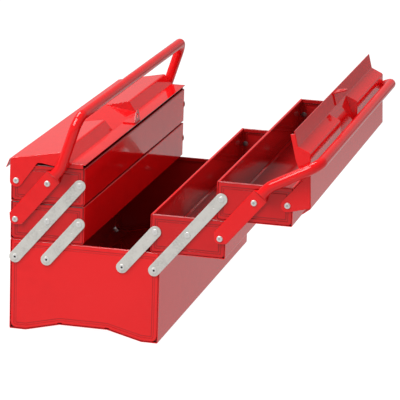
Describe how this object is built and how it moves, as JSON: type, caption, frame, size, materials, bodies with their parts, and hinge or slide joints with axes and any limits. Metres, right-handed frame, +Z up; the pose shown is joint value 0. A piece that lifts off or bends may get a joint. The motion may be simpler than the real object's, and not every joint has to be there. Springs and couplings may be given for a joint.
{
  "type": "cantilever tool box",
  "caption": "Sheet-steel cantilever tool box: a deep base and two banks of stacked trays that swing out on flat links, with hinged lids and bent tube handles.",
  "frame": {"origin": "centre of the bounding box at the level of the feet, with the left bank closed and the right bank and its lid open", "axes": "+Z up; +Y along the box's length, towards the rear end panel; +X across the box, towards the open bank"},
  "size_m": [0.4168, 0.5426, 0.2985],
  "materials": {
    "red_paint": "gloss enamel on sheet steel",
    "link_steel": "bright zinc plate",
    "rivet_steel": "bright zinc plate, burnished heads"
  },
  "bodies": {
    "base": {"base_body": "red_paint", "base_front_panel": "red_paint", "base_rear_panel": "red_paint", "base_rivets": "rivet_steel"},
    "left_long_links": {"left_front_long_link": "link_steel", "left_rear_long_link": "link_steel"},
    "left_short_links": {"left_front_short_link": "link_steel", "left_rear_short_link": "link_steel"},
    "left_lower_tray": {"left_lower_tray_body": "red_paint", "left_lower_tray_front_panel": "red_paint", "left_lower_tray_rear_panel": "red_paint", "left_lower_tray_rivets": "rivet_steel"},
    "left_upper_tray": {"left_upper_tray_body": "red_paint", "left_upper_tray_front_panel": "red_paint", "left_upper_tray_rear_panel": "red_paint", "left_upper_tray_rivets": "rivet_steel"},
    "left_handle": {"left_handle": "red_paint"},
    "left_lid": {"left_lid": "red_paint", "left_hasp": "red_paint"},
    "right_long_links": {"right_front_long_link": "link_steel", "right_rear_long_link": "link_steel"},
    "right_short_links": {"right_front_short_link": "link_steel", "right_rear_short_link": "link_steel"},
    "right_lower_tray": {"right_lower_tray_body": "red_paint", "right_lower_tray_front_panel": "red_paint", "right_lower_tray_rear_panel": "red_paint", "right_lower_tray_rivets": "rivet_steel"},
    "right_upper_tray": {"right_upper_tray_body": "red_paint", "right_upper_tray_front_panel": "red_paint", "right_upper_tray_rear_panel": "red_paint", "right_upper_tray_rivets": "rivet_steel"},
    "right_handle": {"right_handle": "red_paint"},
    "right_lid": {"right_lid": "red_paint", "right_hasp": "red_paint"}
  },
  "joints": [
    {"name": "left_swing", "type": "hinge", "parent": "base", "child": "left_long_links", "pos_m": [-0.19444, 0, 0.098], "axis": [0, -1, 0], "range_deg": [0, 79.83]},
    {"name": "left_short_link_swing", "type": "hinge", "parent": "base", "child": "left_short_links", "pos_m": [-0.15194, 0, 0.098], "axis": [0, -1, 0], "range_deg": [0, 79.83]},
    {"name": "left_lower_tray_level", "type": "hinge", "parent": "left_long_links", "child": "left_lower_tray", "pos_m": [-0.15194, 0, 0.1488], "axis": [0, -1, 0], "range_deg": [-79.83, 0]},
    {"name": "left_upper_tray_level", "type": "hinge", "parent": "left_long_links", "child": "left_upper_tray", "pos_m": [-0.10944, 0, 0.1996], "axis": [0, -1, 0], "range_deg": [-79.83, 0]},
    {"name": "left_handle_swing", "type": "hinge", "parent": "left_lower_tray", "child": "left_handle", "pos_m": [-0.19444, 0, 0.1488], "axis": [0, -1, 0], "range_deg": [0, 79.83]},
    {"name": "left_lid_turn", "type": "hinge", "parent": "left_upper_tray", "child": "left_lid", "pos_m": [-0.19444, 0, 0.1996], "axis": [0, -1, 0], "range_deg": [0, 76]},
    {"name": "right_swing", "type": "hinge", "parent": "base", "child": "right_long_links", "pos_m": [-0.00844, 0, 0.098], "axis": [0, 1, 0], "range_deg": [-79.83, 0]},
    {"name": "right_short_link_swing", "type": "hinge", "parent": "base", "child": "right_short_links", "pos_m": [-0.05094, 0, 0.098], "axis": [0, 1, 0], "range_deg": [-79.83, 0]},
    {"name": "right_lower_tray_level", "type": "hinge", "parent": "right_long_links", "child": "right_lower_tray", "pos_m": [0.03406, 0, 0.1488], "axis": [0, 1, 0], "range_deg": [0, 79.83]},
    {"name": "right_upper_tray_level", "type": "hinge", "parent": "right_long_links", "child": "right_upper_tray", "pos_m": [0.07656, 0, 0.1996], "axis": [0, 1, 0], "range_deg": [0, 79.83]},
    {"name": "right_handle_swing", "type": "hinge", "parent": "right_lower_tray", "child": "right_handle", "pos_m": [0.07656, 0, 0.1488], "axis": [0, 1, 0], "range_deg": [-79.83, 0]},
    {"name": "right_lid_turn", "type": "hinge", "parent": "right_upper_tray", "child": "right_lid", "pos_m": [0.16156, 0, 0.1996], "axis": [0, 1, 0], "range_deg": [-76, 0]}
  ],
  "couplings": [
    {"joint": "left_short_link_swing", "follows": "left_swing", "ratio": 1},
    {"joint": "left_lower_tray_level", "follows": "left_swing", "ratio": -1},
    {"joint": "left_upper_tray_level", "follows": "left_swing", "ratio": -1},
    {"joint": "left_handle_swing", "follows": "left_swing", "ratio": 1},
    {"joint": "right_short_link_swing", "follows": "right_swing", "ratio": 1},
    {"joint": "right_lower_tray_level", "follows": "right_swing", "ratio": -1},
    {"joint": "right_upper_tray_level", "follows": "right_swing", "ratio": -1},
    {"joint": "right_handle_swing", "follows": "right_swing", "ratio": 1},
    {"joint": "right_lid_turn", "follows": "right_swing", "ratio": 0.952}
  ]
}
